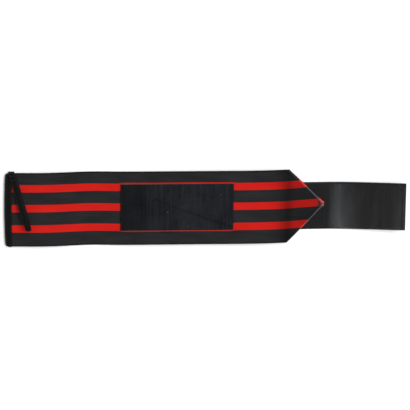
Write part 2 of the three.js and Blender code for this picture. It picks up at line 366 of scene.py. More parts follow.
def divided(start, end, count):
    """Evenly spaced values from start to end, both included"""
    return [start + (end - start) * k / count for k in range(count + 1)]


def spaced(start, end, step):
    """Values from start to end, as evenly spaced as comes nearest to the step"""
    return divided(start, end, max(round(abs(end - start) / step), 1))


class Value:
    """A node's output that takes part in Python expressions"""

    def __init__(self, finish, socket):
        self.finish = finish
        self.socket = socket

    def maths(self, operation, *others):
        sockets = dict(enumerate((self, *others)))
        return self.finish.node("ShaderNodeMath", {"operation": operation}, sockets)

    def reflected(self, operation, first):
        """An operation on another value and this one, in that order"""
        return self.finish.node("ShaderNodeMath", {"operation": operation}, {0: first, 1: self})

    def __add__(self, other):
        return self.maths("ADD", other)

    __radd__ = __add__

    def __mul__(self, other):
        return self.maths("MULTIPLY", other)

    __rmul__ = __mul__

    def __sub__(self, other):
        return self.maths("SUBTRACT", other)

    def __rsub__(self, other):
        return self.reflected("SUBTRACT", other)

    def __truediv__(self, other):
        return self.maths("DIVIDE", other)

    def __rtruediv__(self, other):
        return self.reflected("DIVIDE", other)

    def __abs__(self):
        return self.maths("ABSOLUTE")

    def sin(self):
        return self.maths("SINE")

    def floor(self):
        return self.maths("FLOOR")

    def lowest(self, other):
        return self.maths("MINIMUM", other)

    def highest(self, other):
        return self.maths("MAXIMUM", other)

    def clamped(self):
        return self.lowest(1).highest(0)

    def above(self, threshold, softness):
        """0 below a threshold and 1 above it, with a soft step"""
        return ((self - threshold) / softness + 0.5).clamped()

    def wave(self, length):
        """Up to 1 and down to 0 once in each length"""
        return (self * (TURN / length)).sin() * 0.5 + 0.5

    def ridges(self, pitch):
        """A round ridge in each pitch, 0 between them and 1 on their tops"""
        return abs((self * (math.pi / pitch)).sin())

    def swing(self, amount):
        """A noise about nothing: its middle taken off, times an amount"""
        return (self - 0.5) * amount


class Finish:
    """A material's node tree, with the cloth's own coordinates in millimetres"""

    def __init__(self, name):
        self.material = bpy.data.materials.new(name)
        self.material.use_nodes = True
        self.tree = self.material.node_tree
        self.tree.nodes.clear()
        self.output = self.tree.nodes.new("ShaderNodeOutputMaterial")

    def node(self, kind, settings=None, sockets=None, output=0):
        """Adds a node: its settings come first, then the values or links of its sockets"""
        made = self.tree.nodes.new(kind)
        for setting, value in (settings or {}).items():
            setattr(made, setting, value)
        for socket, value in (sockets or {}).items():
            if isinstance(value, Value):
                self.tree.links.new(value.socket, made.inputs[socket])
            else:
                made.inputs[socket].default_value = value
        return Value(self, made.outputs[output])

    def attribute(self, name, output="Fac"):
        return self.node("ShaderNodeAttribute", {"attribute_name": name}, output=output)

    def position(self):
        """Where a point is on the piece, in metres"""
        return self.node("ShaderNodeTexCoord", output="Object")

    def millimetres(self, where):
        """The first two parts of a place in metres"""
        first = self.node("ShaderNodeSeparateXYZ", sockets={0: where})
        second = Value(self, first.socket.node.outputs[1])
        return first * MM_PER_METRE, second * MM_PER_METRE

    def cloth(self):
        """Along and across the flat cloth"""
        return self.millimetres(self.attribute("cloth", "Vector"))

    def noise_at(self, where, scale, detail=2.0, roughness=0.5):
        sockets = {"Vector": where, "Scale": scale, "Detail": detail, "Roughness": roughness}
        return self.node("ShaderNodeTexNoise", sockets=sockets)

    def noise(self, along, across, scale, detail=2.0, roughness=0.5, seed=0.0):
        where = self.node("ShaderNodeCombineXYZ", sockets={0: along, 1: across, 2: seed})
        return self.noise_at(where, scale, detail, roughness)

    def mix(self, share, first, second):
        """Colours blended by a share, from the first to the second"""
        settings = {"data_type": "RGBA"}
        first, second = (c if isinstance(c, Value) else (*c, 1) for c in (first, second))
        return self.node("ShaderNodeMix", settings, {0: share, 6: first, 7: second}, output=2)

    def brighten(self, colour, amount):
        """A colour times a number"""
        sockets = {0: tuple(colour), "Scale": amount}
        return self.node("ShaderNodeVectorMath", {"operation": "SCALE"}, sockets)

    def bump(self, height, distance, strength=1.0):
        sockets = {"Height": height, "Distance": distance, "Strength": strength}
        return self.node("ShaderNodeBump", sockets=sockets)

    def surface(self, colour, roughness, normal, specular, sheen=0.0, sheen_roughness=0.5):
        """Ends the tree in one Principled shader. Its specular level and sheen are the same all over"""
        sockets = {"Base Color": colour, "Roughness": roughness, "Normal": normal}
        sockets["Specular IOR Level"] = specular
        sockets["Sheen Weight"] = sheen
        sockets["Sheen Roughness"] = sheen_roughness
        shader = self.node("ShaderNodeBsdfPrincipled", sockets=sockets)
        self.tree.links.new(shader.socket, self.output.inputs["Surface"])
        return self.material


# The weaves' measures, in millimetres as the materials have them
CORD = 1.15
WEFT = 1.5
SELVEDGE = 1.1
BINDING_RIB = 1.1
LOOP_RIB = 0.9
PATCH_RIB = 0.9
TAB_RIB = 0.9
TAB_THREAD = 0.7
# Painted shadow on the patch's left end: where it ends, in millimetres along, and how much it darkens
PATCH_PAINTED_SHADOW_END = PATCH_START / MM + 29
PATCH_PAINTED_SHADOW_DEPTH = 0.41


def elastic_finish(sizes, colours):
    """Ribbed woven elastic: staggered weft bumps on lengthwise cords, in black with red stripes"""
    finish = Finish("Striped elastic")
    along, across = finish.cloth()
    in_cords = across / CORD
    row = in_cords.floor()
    crown = in_cords.ridges(1)
    stagger = (row * 0.5 - (row * 0.5).floor()) * 2
    crimp = (along / WEFT + stagger * 0.5).wave(1)
    grain = finish.noise(along, across * 2.2, scale=1.6, detail=3.0)
    relief = crown * (crimp * 0.45 + 0.55) + grain * 0.35

    edge_wobble = (along * (TURN / WEFT)).sin() * 0.12 + grain.swing(0.3)
    climb = (along - sizes.shoulder / MM + 3).highest(0) * sizes.stripe_drift
    held = along.above(PATCH_START / MM, softness=5) - along.above(PATCH_END / MM, softness=5)
    centred = (across - sizes.stripe_offset / MM - climb) * (1 - held * sizes.patch_spread) + edge_wobble
    upper = abs(centred - sizes.upper_pitch / MM)
    lower = abs(centred + sizes.lower_pitch / MM)
    nearest = abs(centred).lowest(upper).lowest(lower)
    stripe = 1 - nearest.above(sizes.stripe_width / MM / 2, softness=0.35)

    drift = finish.noise(along, across * 3, scale=0.035)
    streaks = finish.noise(along * 0.02, across, scale=1.4)
    selvedge = abs(across).above(HALF_WIDTH / MM - SELVEDGE, softness=0.9)
    # lit darkens the elastic along its two edges, and paints shade at the crease and over the folded point
    painted_shade = finish.attribute("painted_shade")
    lit = (1 - selvedge * 0.55) * (1 - painted_shade * 0.6)
    shade = 0.62 + relief * 0.32 + drift.swing(0.7) + streaks.swing(0.9)
    ground = finish.brighten(colours.ground, shade * lit)
    red_shade = 0.72 + relief * 0.22 + drift.swing(0.3) + streaks.swing(0.25)
    red = finish.brighten(colours.stripe, red_shade * lit)
    colour = finish.mix(stripe, ground, red)
    # The folded edges mix towards the pale core: partly wear, partly a painted highlight on the fold's
    # rounding
    wear = finish.attribute("wear")
    shown = (wear * (0.45 + crimp * 0.55)).clamped()
    colour = finish.mix(shown * 0.55, colour, colours.core)
    normal = finish.bump(relief, distance=0.35 * MM, strength=0.8)
    roughness = 0.78 + grain * 0.16
    return finish.surface(colour, roughness, normal, specular=0.06, sheen=0.01)


def tape_finish(name, colour, rib, worn_colour):
    """Grosgrain tape: ribs across it, and a fine grain"""
    finish = Finish(name)
    along, across = finish.cloth()
    ribs = along.ridges(rib)
    grain = finish.noise(along * 2, across * 2, scale=1.9, detail=3.0)
    slow = finish.noise(along, across, scale=0.12)
    relief = ribs * 0.7 + grain * 0.5
    shade = 0.6 + relief * 0.45 + slow.swing(0.7)
    tint = finish.brighten(colour, shade)
    tint = finish.mix(finish.attribute("wear") * 0.35, tint, worn_colour)
    normal = finish.bump(relief, distance=0.25 * MM, strength=0.8)
    return finish.surface(tint, 0.62 + grain * 0.25, normal, specular=0.08)


def pile_finish(colours):
    """Brushed loop pile: fine curls, crosswise streaks where it was rolled, and paler flecks"""
    finish = Finish("Loop pile")
    along, across = finish.cloth()
    curls = finish.noise(along, across, scale=1.7, detail=4.0, roughness=0.65)
    clumps = finish.noise(along, across, scale=0.42, detail=3.0, seed=3.0)
    streaks = finish.noise(along, across * 0.04, scale=0.55, detail=3.0, seed=7.0)
    slow = finish.noise(along, across, scale=0.045, seed=11.0)
    relief = curls * 0.8 + clumps * 0.5 + streaks * 0.4
    shade = 0.25 + curls * 0.75 + streaks.swing(1.2) + clumps.swing(0.5) + slow.swing(0.9)
    # Painted shadow over the patch's left end
    left_end_painted_shadow = 1 - (1 - (along - PATCH_PAINTED_SHADOW_END).above(0, softness=5)) * PATCH_PAINTED_SHADOW_DEPTH
    # Painted shade along the pile's creases
    crease_painted_shade = 1 - finish.attribute("painted_shade") * 0.45
    colour = finish.brighten(colours.pile, shade.highest(0.15) * left_end_painted_shadow * crease_painted_shade)
    flecks = finish.noise(along, across, scale=1.1, detail=1.0, seed=17.0)
    colour = finish.mix(flecks.above(0.76, softness=0.06) * 0.10, colour, colours.lint)
    edge = finish.brighten(colours.patch_tape, 0.7 + along.ridges(PATCH_RIB) * 0.5)
    colour = finish.mix(finish.attribute("wear"), colour, edge)
    normal = finish.bump(relief, distance=0.5 * MM, strength=0.9)
    return finish.surface(colour, 0.9, normal, specular=0.08, sheen=0.10, sheen_roughness=0.35)


def satin_finish(colours):
    """The tab's smooth side: fine crosswise ribs and lengthwise threads with a soft gloss"""
    finish = Finish("Hook tape back")
    along, across = finish.cloth()
    ribs = along.wave(TAB_RIB)
    threads = across.wave(TAB_THREAD)
    grain = finish.noise(along, across * 4, scale=1.3, detail=3.0)
    streaks = finish.noise(along, across * 0.03, scale=0.5, detail=4.0, roughness=0.7, seed=5.0)
    slow = finish.noise(along, across, scale=0.05, seed=9.0)
    relief = ribs * 0.5 + threads * 0.25 + grain * 0.35 + streaks * 0.5
    shade = 0.7 + relief * 0.18 + streaks.swing(1.2) + slow.swing(0.3)
    colour = finish.brighten(colours.satin, shade)
    roughness = 0.135 + grain * 0.04 + streaks.swing(0.16) + ribs * threads * 0.09
    normal = finish.bump(relief, distance=0.02 * MM, strength=0.5)
    return finish.surface(colour, roughness, normal, specular=0.20)


def thread_finish(name, colour):
    """Twisted sewing thread"""
    finish = Finish(name)
    along, across = finish.millimetres(finish.position())
    twist = (along * 1.3 + across * 1.7).wave(1)
    fuzz = finish.noise(along, across, scale=2.2)
    # Painted shade: the pile's yarn is darker over the patch's left end and along its creases; stitches carry
    # none
    painted_shade = finish.attribute("painted_shade")
    tint = finish.brighten(colour, (0.6 + twist * 0.35 + fuzz * 0.4) * (1 - painted_shade))
    normal = finish.bump(twist, distance=0.12 * MM, strength=0.7)
    return finish.surface(tint, 0.5 + fuzz * 0.2, normal, specular=0.3)


def plastic_finish(name, colour):
    """Cut nylon hooks"""
    finish = Finish(name)
    grain = finish.noise_at(finish.position(), scale=900.0)
    tint = finish.brighten(colour, 0.7 + grain * 0.6)
    normal = finish.bump(grain, distance=0.05 * MM, strength=0.4)
    return finish.surface(tint, 0.4 + grain * 0.15, normal, specular=0.4)


def dress(obj, slot, *nodes):
    """Hangs a piece on the frame, and lets it stand for CAD nodes, which it hides. Its slot is not used"""
    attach(obj, BODY)
    if nodes:
        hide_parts(*nodes)
    return obj


HALVINGS = 24


class PointSide:
    """One folded edge of the point, and where its layers lie in a section across the band"""

    def __init__(self, sizes, side):
        self.sizes = sizes
        self.side = side
        self.shoulder = sizes.shoulder + (sizes.shoulder_skew if side > 0 else 0)
        self.width = abs(side * HALF_WIDTH - sizes.tip_offset)
        self.slope = self.width / (sizes.tip - self.shoulder)
        self.stretch = math.hypot(1, self.slope)
        self.nose = sizes.tip_round / self.slope
        self.fold = sizes.band_thickness + sizes.layer_gap / 2
        self.bend = self.fold - sizes.band_thickness / 2

    def edge(self, along):
        """From the tip's line to the folded edge"""
        if along <= self.sizes.tip - self.nose:
            return self.slope * (self.sizes.tip - along)
        apex = self.sizes.tip - self.nose / 2
        return self.sizes.tip_round * math.sqrt(max(apex - along, 0) / (self.nose / 2))

    def across(self, out):
        return self.sizes.tip_offset + self.side * out

    def last_turn(self, along):
        """How far round the fold the cloth goes before its selvedge ends it"""
        straight = self.slope * (self.sizes.tip - along)

        def unfolded_out(turn):
            sine = math.sin(turn)
            level = straight - (self.fold - self.bend * sine) * self.stretch
            return level + self.bend * (turn - sine) / self.stretch

        low = 0.0
        high = math.pi
        if unfolded_out(high) <= self.width:
            return high
        for _ in range(HALVINGS):
            middle = (low + high) / 2
            if unfolded_out(middle) > self.width:
                high = middle
            else:
                low = middle
        return low

    def unfolded(self, along, out, beyond):
        """Where a point belongs on the flat cloth, from how far past the fold it is"""
        outside = (self.slope * (self.sizes.tip - along) - out) / self.stretch
        step = outside + beyond
        return (
            along + step * self.slope / self.stretch,
            self.across(out) + self.side * step / self.stretch,
        )


SEAM_START = 18 * MM
# How much lighter a folded edge is: the elastic's pale core showing where it is worn, and a painted highlight
# on its rounding
EDGE_WEAR_AND_HIGHLIGHT = 0.12
SEAM_WEAR_AND_HIGHLIGHT = 0.28
TIP_WEAR_AND_HIGHLIGHT = 0.5


def fold_wear_and_highlight(side, along):
    """How worn a folded edge is, with a painted highlight on its rounding: more where it is sewn, and most at
    the tip
    """
    sewn = smooth_step(8 * MM, SEAM_START, along - side.shoulder)
    far = smooth_step(3 * MM, 7 * MM, side.sizes.tip - along)
    return EDGE_WEAR_AND_HIGHLIGHT + SEAM_WEAR_AND_HIGHLIGHT * sewn + TIP_WEAR_AND_HIGHLIGHT * (1 - far)


FACE_ROWS = 24
ARC_ROWS = 8
FLAP_ROWS = 10
END_CORNER = 4 * MM
NOSE_SQUEEZE = 0.94
# Where round the fold the lighter line lies: partly wear, partly a painted highlight
FOLD_WEAR_AND_HIGHLIGHT_TURN = math.radians(35)
BAND_EDGE_ROUND = 0.45 * MM
FOLD_LEAD = 3 * MM
# Between rows: on the band, where the fold begins, on the point and on its nose
BAND_STEPS = (1.6 * MM, 0.2 * MM, 1.0 * MM, 0.3 * MM)


def band_half_section(cloth, side, along, mid_height):
    """Point numbers from the tip's line outwards over the face, round the fold and back"""
    # Painted shade of the elastic at this place along the band
    painted_shade = band_painted_shade(along)
    edge = side.edge(along)
    shrink = min(1.0, NOSE_SQUEEZE * edge / (side.fold * side.stretch))
    inset = side.fold * side.stretch * shrink
    selvedge = side.width
    if along < END_CORNER:
        selvedge -= END_CORNER - math.sqrt(max(END_CORNER**2 - (END_CORNER - along) ** 2, 0))
    level = min(selvedge, edge - inset)
    start = min(level, selvedge - inset)
    bend = side.bend * shrink
    outer = mid_height(along, side.across(level))
    strip = level - start + bend * side.last_turn(along)
    outs = divided(0, start, FACE_ROWS)[1:]
    turns = []
    for travelled in divided(0, strip, ARC_ROWS)[1:]:
        turn = (travelled - level + start) / bend
        if turn > 0:
            turns.append(turn)
        else:
            outs.append(start + travelled)
    numbers = []
    for across in map(side.across, outs):
        numbers.append(cloth.spot(along, across, mid_height(along, across), painted_shade=painted_shade))
    for turn in turns:
        out = edge - (side.fold - side.bend * math.sin(turn)) * side.stretch * shrink
        height = outer - bend + bend * math.cos(turn)
        flat = side.unfolded(along, out, side.bend * turn - side.fold)
        # Lighter near one turn of the fold's rounding: the pale core showing through, and a painted highlight
        wear = max(math.cos(turn - FOLD_WEAR_AND_HIGHLIGHT_TURN), 0) ** 8 * fold_wear_and_highlight(side, along)
        # The painted shade fades out round the fold
        fading_painted_shade = painted_shade * max(1 - turn * ARC_ROWS / math.pi, 0)
        numbers.append(cloth.spot(along, side.across(out), height, flat, wear, fading_painted_shade))
    if along < side.shoulder - SAME_PLACE:
        return numbers + [None] * FLAP_ROWS
    for out in divided(edge - inset, side.sizes.layer_gap, FLAP_ROWS)[1:]:
        beyond = math.pi * side.bend + (edge - out) / side.stretch - 2 * side.fold
        flat = side.unfolded(along, out, beyond)
        numbers.append(cloth.spot(along, side.across(out), outer - 2 * bend, flat))
    return numbers


def elastic_band(sizes, colours):
    """The band: one length of elastic whose corners are folded back under its face"""
    cloth = Cloth()
    upper, lower = (PointSide(sizes, side) for side in SIDES)
    half = sizes.band_thickness / 2
    mid_height = over_face(-half)
    nose = sizes.tip - lower.nose
    apex = sizes.tip - lower.nose / 2 - half
    stops = (INSIDE, lower.shoulder - FOLD_LEAD, upper.shoulder, nose, apex)
    alongs = [INSIDE]
    for start, end, step in zip(stops, stops[1:], BAND_STEPS):
        alongs += spaced(start, end, step)[1:]
    rows = []
    for along in alongs:
        height = mid_height(along, sizes.tip_offset)
        # Painted shade of the elastic at this place along the band
        centre = cloth.spot(along, sizes.tip_offset, height, painted_shade=band_painted_shade(along))
        out = band_half_section(cloth, upper, along, mid_height)
        back = band_half_section(cloth, lower, along, mid_height)
        rows.append(back[::-1] + [centre] + out)
    cloth.grid(rows)
    obj = cloth.make("Elastic_Band", elastic_finish(sizes, colours))
    return thicken(obj, sizes.band_thickness, BAND_EDGE_ROUND)


BINDING_BULGE = 0.8 * MM
BINDING_LEG_ROWS = 7
BINDING_ARC_ROWS = 10
BINDING_WEAR_TURN = math.radians(150)
BINDING_STEP = 1 * MM
SHORTEST_LEG = 0.5 * MM
# How much of its thickness a tape's mesh has, so that it clears what it lies on
TAPE_SHARE = 0.9


def end_binding(sizes, colours):
    """The tape folded over the raw end, rounded at its corners"""
    cloth = Cloth()
    reach = sizes.binding_reach
    lift = sizes.layer_gap + sizes.binding_thickness / 2
    radius = sizes.band_thickness / 2 + lift
    outer_end = BINDING_BOX[0].x - RAW_END
    straight = HALF_WIDTH - END_CORNER
    rows = []
    for across in spaced(-HALF_WIDTH, HALF_WIDTH, BINDING_STEP):
        past = abs(across) - straight
        end = outer_end + BINDING_BULGE * min(abs(across) / straight, 1) ** 2
        if past > 0:
            end += END_CORNER * (1 - math.sqrt(max(1 - past / END_CORNER, 0))) ** 2
        turn_at = min(end + sizes.binding_thickness / 2 + radius, reach - SHORTEST_LEG)
        row = []
        legs = divided(reach, turn_at, BINDING_LEG_ROWS)
        for along in legs:
            height = face_height(along, across) + lift
            travelled = reach - along
            row.append(cloth.spot(along, across, height, (across, travelled)))
        centre = face_height(turn_at, across) - sizes.band_thickness / 2
        for k in range(1, BINDING_ARC_ROWS + 1):
            turn = math.pi * (0.5 + k / BINDING_ARC_ROWS)
            along = turn_at + radius * math.cos(turn)
            wear = max(math.cos(turn - BINDING_WEAR_TURN), 0) ** 4 * 0.5
            flat = (across, travelled + radius * (turn - math.pi / 2))
            height = centre + radius * math.sin(turn)
            row.append(cloth.spot(along, across, height, flat, wear))
        travelled += math.pi * radius
        for along in legs[-2::-1]:
            height = face_height(along, across) - sizes.band_thickness - lift
            flat = (across, travelled + along - turn_at)
            row.append(cloth.spot(along, across, height, flat))
        rows.append(row)
    cloth.grid(rows)
    finish = tape_finish("Binding tape", colours.binding, BINDING_RIB, colours.worn_tape)
    return thicken(cloth.make("End_Binding", finish), sizes.binding_thickness * TAPE_SHARE, 0.25 * MM)


# How deep each crease of the pile is, and the points that it runs through, in the frame's millimetres
PATCH_CREASES = (
    (1.0, ((-53.9, 9.6), (-31.4, -0.1), (5.0, -13.4), (27.2, -21.8))),
    (0.7, ((-11.5, 7.8), (-19.7, 6.0), (-35.0, 2.4), (-39.7, -0.1), (-45.6, -6.7))),
)
PILE_CREASE_WIDTH = 1.0 * MM
PILE_CREASE_DEPTH = 0.4 * MM
# How far from the patch's edge the pile begins, and where it has its full height
EDGE_PILE = (0.3 * MM, 1.0 * MM)
END_PILE = (1.7 * MM, 2.6 * MM)
PATCH_STEP = 0.75 * MM


def distance_to(line, x, y):
    """Shortest distance from a place to a line through a few points"""
    here = Vector((x, y))
    best = 1.0
    for a, b in zip(line, line[1:]):
        start = Vector(a) * MM
        run = Vector(b) * MM - start
        t = min(max((here - start).dot(run) / run.length_squared, 0), 1)
        best = min(best, (here - start - run * t).length)
    return best


def patch_edge(along, across):
    """From a place on the patch to its nearest edge"""
    return min(along - PATCH_START, PATCH_END - along, across - PATCH_LOW, PATCH_HIGH - across)


def patch_bare(along, across):
    """1 where the patch's edge is sewn down flat and 0 on its pile; the end by the point is barest"""
    uneven = 0.5 * MM * waves(along, across, length=3 * MM, width=3 * MM, seed=2)
    sides = 1 - smooth_step(*EDGE_PILE, patch_edge(along, across) + uneven)
    end = 1 - smooth_step(*END_PILE, PATCH_END - along + uneven)
    return max(sides, end)


def patch_crease(along, across):
    """Up to 1 in the middle of a crease of the pile, which comes and goes along its length"""
    spot = (RAW_END + along, MIDDLE + across)
    depth = max(bump_at(distance_to(line, *spot), PILE_CREASE_WIDTH) * share for share, line in PATCH_CREASES)
    return depth * (0.85 + 0.4 * waves(along, across, length=4 * MM, width=4 * MM, seed=13))


def patch_top(along, across):
    """The pile's surface: sewn down at the edge, uneven, pressed in at its creases"""
    sizes = bpy.context.scene.wrap_sizes
    bare = patch_bare(along, across)
    tufts = 0.16 * MM * waves(along, across, length=1.3 * MM, width=1.5 * MM, seed=0)
    rolls = 0.12 * MM * waves(along, across, length=2.6 * MM, width=40 * MM, seed=6)
    uneven = tufts + rolls - PILE_CREASE_DEPTH * patch_crease(along, across)
    return patch_height(along, across) - sizes.pile_height * bare + uneven * (1 - bare)


def patch_over(lift):
    """A surface at a lift over the patch's pile"""
    return lambda along, across: patch_top(along, across) + lift


def loop_patch(sizes, colours):
    """The patch's tape with its pile, thinner where it is sewn down"""
    alongs = spaced(PATCH_START, PATCH_END, PATCH_STEP)
    acrosses = spaced(PATCH_LOW, PATCH_HIGH, PATCH_STEP)
    under = over_face(sizes.layer_gap)
    obj = slab("Loop_Patch", alongs, acrosses, patch_top, under, pile_finish(colours))
    wear = obj.data.attributes["wear"].data
    painted_shade = obj.data.attributes["painted_shade"].data
    for k, vertex in enumerate(obj.data.vertices):
        along = vertex.co.x - RAW_END
        across = vertex.co.y - MIDDLE
        wear[k].value = patch_bare(along, across)
        # Painted shade along the pile's creases, which the pile finish darkens by
        painted_shade[k].value = patch_crease(along, across)
    return obj


TAB_MESH_STEP = 1.2 * MM
TAB_EDGE_SINK = 0.12 * MM
TAB_EDGE_SHARE = 0.93


def tab_top(along, across):
    """The tab's smooth side, which lies a little lower at its two long edges"""
    x = RAW_END + along
    wave = 0.10 * MM * waves(x, across, length=16 * MM, width=25 * MM, seed=8)
    half = (TAB_BOX[1].y - TAB_BOX[0].y) / 2
    edge = abs(across - (TAB_MIDDLE - MIDDLE)) / half
    return TAB_TOP(x) + wave - TAB_EDGE_SINK * smooth_step(TAB_EDGE_SHARE, 1, edge)


def hook_tab(sizes, colours):
    """The long tab without its hooks"""
    alongs = spaced(TAB_BOX[0].x - RAW_END, TAB_BOX[1].x - RAW_END, TAB_MESH_STEP)
    acrosses = spaced(TAB_BOX[0].y - MIDDLE, TAB_BOX[1].y - MIDDLE, TAB_MESH_STEP)

    def under(along, across):
        return TAB_UNDER(RAW_END + along) + sizes.hook_height

    return slab("Hook_Tab", alongs, acrosses, tab_top, under, satin_finish(colours))


def tab_hooks(sizes, colours):
    """Rows of bent hooks under the tab"""
    cloth = Cloth()
    margin = 2 * MM
    stagger = 0.8 * MM
    x = TAB_BOX[0].x + margin
    row = 0
    while x < TAB_BOX[1].x - margin:
        root = TAB_UNDER(x) + sizes.hook_height + 0.1 * MM
        tip = TAB_UNDER(x) + 0.02 * MM
        lean = 0.35 * MM * (1 if row % 2 else -1)
        levels = ((0, root, 1), (lean * 0.3, (root + tip) / 2, 0.8), (lean, tip, 0.9))
        y = TAB_BOX[0].y + margin + (row % 2) * stagger
        while y < TAB_BOX[1].y - margin:
            rings = []
            for shift, height, girth in levels:
                half = 0.13 * MM * girth
                corners = ((-half, -half), (half, -half), (half, half), (-half, half))
                spots = (Vector((x + shift + dx, y + dy, height)) for dx, dy in corners)
                rings.append([cloth.point(spot, (x, y)) for spot in spots])
            cloth.tube(rings)
            y += 1.7 * MM
        x += 1.8 * MM
        row += 1
    return cloth.make("Tab_Hooks", plastic_finish("Hook nylon", colours.hooks))


def flat_arc(centre, radius, start, end, count):
    """Points of an arc, without its last"""
    spots = []
    for k in range(count):
        turn = math.radians(start + (end - start) * k / count)
        spots.append(Vector((centre[0] + radius * math.cos(turn), centre[1] + radius * math.sin(turn))))
    return spots


def flat_line(start, end, step):
    """Points of a straight stretch, without its last"""
    run = Vector(end) - Vector(start)
    count = max(round(run.length / step), 1)
    return [Vector(start) + run * (k / count) for k in range(count)]


def flat_curve(start, pull_start, pull_end, end, count):
    """Points of a Bezier curve, without its last"""
    spots = interpolate_bezier(*(Vector((*spot, 0)) for spot in (start, pull_start, pull_end, end)), count)
    return [spot.to_2d() for spot in spots[:-1]]


LOOP_DROP = 61.5 * MM
LOOP_BOW = 6.4 * MM
LOOP_ROOT = 5.6 * MM
LOOP_BACK_REACH = 8 * MM
LOOP_LEG_SHIFT = 1.5 * MM
LOOP_LEG_END = 1.5 * MM
LOOP_BEND = 0.8 * MM
LOOP_STEP = 1.2 * MM
LOOP_PINCH = 0.2
LOOP_PINCH_WIDTH = 9 * MM
LOOP_HALF_COLUMNS = 4
LOOP_WEAR = 0.4


def loop_line(sizes):
    """The thumb loop's middle line, as across and the height over the face"""
    thickness = sizes.loop_thickness
    inner = sizes.layer_gap + thickness / 2
    binding = sizes.layer_gap + sizes.binding_thickness
    over = inner + binding
    outer = over + sizes.layer_gap + thickness
    under = -sizes.band_thickness - over
    edge = HALF_WIDTH + inner
    radius = LOOP_BOW / 2
    fold = HALF_WIDTH - LOOP_DROP + radius + thickness / 2
    top = inner + LOOP_BOW
    leave = HALF_WIDTH * 0.7
    pull = HALF_WIDTH * 0.2
    meet = HALF_WIDTH * 0.4
    climb = HALF_WIDTH * 0.65
    between = (meet + climb) / 2
    crest = fold + LOOP_BOW
    leg_end = (HALF_WIDTH - LOOP_LEG_END, over)
    line = flat_line((HALF_WIDTH - LOOP_BACK_REACH, under), (edge - LOOP_BEND, under), LOOP_STEP)
    line += flat_arc((edge - LOOP_BEND, under + LOOP_BEND), LOOP_BEND, -90, 0, count=6)
    line += flat_line((edge, under + LOOP_BEND), (edge, outer - LOOP_BEND), LOOP_STEP)
    line += flat_arc((edge - LOOP_BEND, outer - LOOP_BEND), LOOP_BEND, 0, 90, count=6)
    line += flat_line((edge - LOOP_BEND, outer), (leave, outer), LOOP_STEP)
    line += flat_curve((leave, outer), (pull, outer), (fold + 3 * LOOP_BOW, top), (crest, top), count=30)
    line += flat_line((crest, top), (fold, top), LOOP_STEP)
    line += flat_arc((fold, top - radius), radius, 90, 270, count=14)
    line += flat_line((fold, inner), (meet, inner), LOOP_STEP)
    line += flat_curve((meet, inner), (between, inner), (between, over), (climb, over), count=10)
    line += flat_line((climb, over), leg_end, LOOP_STEP)
    line.append(Vector(leg_end))
    return line, fold, top


def thumb_loop(sizes, colours):
    """A narrow tape that clasps the band's upper edge and lies across its face"""
    cloth = Cloth()
    line, fold, top = loop_line(sizes)
    reach = sizes.loop_width / math.cos(sizes.loop_lean) / 2
    shift = 0.0
    travelled = 0.0
    before = line[0]
    rows = []
    for spot in line:
        travelled += (spot - before).length
        before = spot
        across, rise = spot
        if across <= fold:
            shift = LOOP_LEG_SHIFT * (top - rise) / LOOP_BOW
        middle = LOOP_ROOT + shift + math.tan(sizes.loop_lean) * max(HALF_WIDTH - across, 0)
        pinch = 1 - LOOP_PINCH * bump_at(across - fold, LOOP_PINCH_WIDTH)
        row = []
        for k in range(2 * LOOP_HALF_COLUMNS + 1):
            sideways = (k / LOOP_HALF_COLUMNS - 1) * pinch
            along = middle + sideways * reach
            height = face_height(along, across) + rise
            wear = LOOP_WEAR * smooth_step(0.7, 1, abs(sideways))
            row.append(cloth.spot(along, across, height, (travelled, sideways * reach), wear))
        rows.append(row)
    cloth.grid(rows)
    finish = tape_finish("Loop tape", colours.loop, LOOP_RIB, colours.worn_tape)
    return thicken(cloth.make("Thumb_Loop", finish), sizes.loop_thickness * TAPE_SHARE, 0.22 * MM)


# Rings along a stitch and along a curl of yarn: a share of its length, and a share of its girth
STITCH_GIRTHS = ((0, 0.45), (0.12, 0.8), (0.35, 1), (0.65, 1), (0.88, 0.8), (1, 0.45))
CURL_GIRTHS = ((0, 0.7), (0.33, 1), (0.67, 1), (1, 0.7))
STITCH_SINK = 0.4
STITCH_RISE = 0.35 * MM
THREAD_LIFT = 0.12 * MM


def add_stitch(cloth, start, end, width, rise, girths=STITCH_GIRTHS, sides=6, painted_shade=0.0):
    """One stitch: a rounded bar of thread that rises from its needle holes"""
    run = end - start
    sideways = run.cross(Vector((0, 0, 1))).normalized() * (width / 2)
    upward = Vector((0, 0, width / 2))
    rings = []
    for share, girth in girths:
        lift = rise * math.sin(math.pi * (0.08 + 0.84 * share)) - STITCH_SINK * rise
        centre = start + run * share + Vector((0, 0, lift))
        ring = []
        for k in range(sides):
            turn = TURN * k / sides
            spot = centre + (sideways * math.cos(turn) + upward * math.sin(turn)) * girth
            ring.append(cloth.point(spot, (0, 0), painted_shade=painted_shade))
        rings.append(ring)
    cloth.tube(rings)


def stitch_over(cloth, holes, surface, width, rise):
    """A stitch between two needle holes, given by their along and across on a surface"""
    ends = [place(along, across, surface(along, across)) for along, across in holes]
    add_stitch(cloth, *ends, width, rise)


def sew(cloth, ends, surface, stitch, width, gap=0.35):
    """A straight row of stitches on a surface"""
    start = Vector(ends[0])
    run = Vector(ends[1]) - start
    count = max(round(run.length / stitch), 1)
    for k in range(count):
        holes = [start + run * share for share in ((k + gap / 2) / count, (k + 1 - gap / 2) / count)]
        stitch_over(cloth, holes, surface, width, STITCH_RISE)


